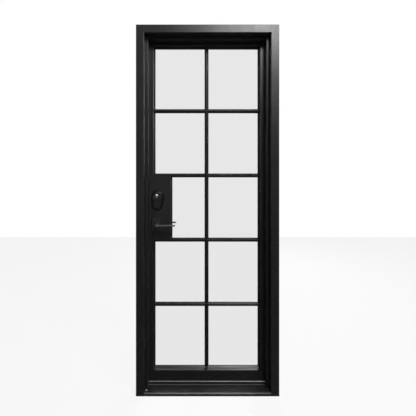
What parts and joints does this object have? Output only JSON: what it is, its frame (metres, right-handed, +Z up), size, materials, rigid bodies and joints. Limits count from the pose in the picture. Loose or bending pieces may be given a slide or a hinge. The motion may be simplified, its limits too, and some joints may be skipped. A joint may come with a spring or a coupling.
{
  "type": "single glass door with frame",
  "caption": "Inward-opening black steel door with small glass panes, lever latch and deadbolt, in its steel tube frame with a sill.",
  "frame": {"origin": "middle of the sill's underside, at mid depth of the frame", "axes": "+X to the right seen from outside, +Y through the door into the building, +Z up"},
  "size_m": [0.955, 0.211, 2.475],
  "materials": {
    "black_paint": "satin",
    "black_hardware": "satin",
    "bright_key_face": "polished",
    "lock_steel": "satin",
    "zinc_steel": "matte",
    "bearing_bronze": "satin",
    "black_rubber": "matte",
    "clear_glass": "clear"
  },
  "bodies": {
    "frame": {"jamb_lock_side": "black_paint", "jamb_hinge_side": "black_paint", "head": "black_paint", "frame_stops": "black_paint", "sill": "black_paint", "sill_stop": "black_paint", "seal_lock_side": "black_rubber", "seal_hinge_side": "black_rubber", "seal_head": "black_rubber", "seal_sill": "black_rubber", "wall_sleeves_lock_side": "zinc_steel", "wall_sleeves_hinge_side": "zinc_steel", "latch_strike": "lock_steel", "deadbolt_strike": "lock_steel", "strike_boxes": "zinc_steel", "strike_screws": "lock_steel", "hinge_pins": "lock_steel", "hinge_washers": "bearing_bronze", "frame_hinge_barrels": "black_paint"},
    "leaf": {"bottom_rail": "black_paint", "centre_bar": "black_paint", "cross_bar_1": "black_paint", "cross_bar_2": "black_paint", "cross_bar_3": "black_paint", "cross_bar_4": "black_paint", "deadbolt_case": "zinc_steel", "deadbolt_faceplate": "lock_steel", "faceplate_screws": "lock_steel", "glass_row1_left": "clear_glass", "glass_row1_right": "clear_glass", "glass_row2_left": "clear_glass", "glass_row2_right": "clear_glass", "glass_row3_left": "clear_glass", "glass_row3_right": "clear_glass", "glass_row4_left": "clear_glass", "glass_row4_right": "clear_glass", "glass_row5_left": "clear_glass", "glass_row5_right": "clear_glass", "glazing_beads": "black_paint", "hinge_stile": "black_paint", "inside_rose": "black_hardware", "key_collar": "black_hardware", "latch_case": "zinc_steel", "latch_faceplate": "lock_steel", "leaf_hinge_barrels": "black_paint", "lock_box": "black_paint", "lock_cover": "black_hardware", "lock_stile": "black_paint", "outside_rose": "black_hardware", "thumb_turn_plate": "black_hardware", "top_rail": "black_paint"},
    "lever": {"outside_lever": "black_hardware", "inside_lever": "black_hardware", "spindle": "lock_steel", "latch_hub": "lock_steel"},
    "latch": {"latch_bolt": "lock_steel"},
    "deadbolt": {"deadbolt": "lock_steel"},
    "thumb_turn": {"thumb_turn": "black_hardware"},
    "key_plug": {"key_plug": "bright_key_face"}
  },
  "joints": [
    {"name": "leaf_swing", "type": "hinge", "parent": "frame", "child": "leaf", "pos_m": [0.4219, 0.0839, 1.2], "axis": [0, 0, -1], "range_deg": [0, 105]},
    {"name": "lever_turn", "type": "hinge", "parent": "leaf", "child": "lever", "pos_m": [-0.3453, 0.052, 1.1265], "axis": [0, 1, 0], "range_deg": [0, 45], "stiffness_Nm_per_rad": 1.5, "springref_deg": -20.05},
    {"name": "latch_slide", "type": "slide", "parent": "leaf", "child": "latch", "axis": [1, 0, 0], "range_m": [0, 0.012]},
    {"name": "thumb_turn_rotate", "type": "hinge", "parent": "leaf", "child": "thumb_turn", "pos_m": [-0.3453, 0.052, 1.333], "axis": [0, 1, 0], "range_deg": [0, 90]},
    {"name": "deadbolt_slide", "type": "slide", "parent": "leaf", "child": "deadbolt", "axis": [-1, 0, 0], "range_m": [0, 0.025]},
    {"name": "key_turn", "type": "hinge", "parent": "leaf", "child": "key_plug", "pos_m": [-0.3453, 0.052, 1.333], "axis": [0, 1, 0], "range_deg": [0, 90]}
  ],
  "couplings": [
    {"joint": "latch_slide", "follows": "lever_turn", "m_per_rad": 0.0152},
    {"joint": "deadbolt_slide", "follows": "thumb_turn_rotate", "m_per_rad": 0.0159}
  ]
}
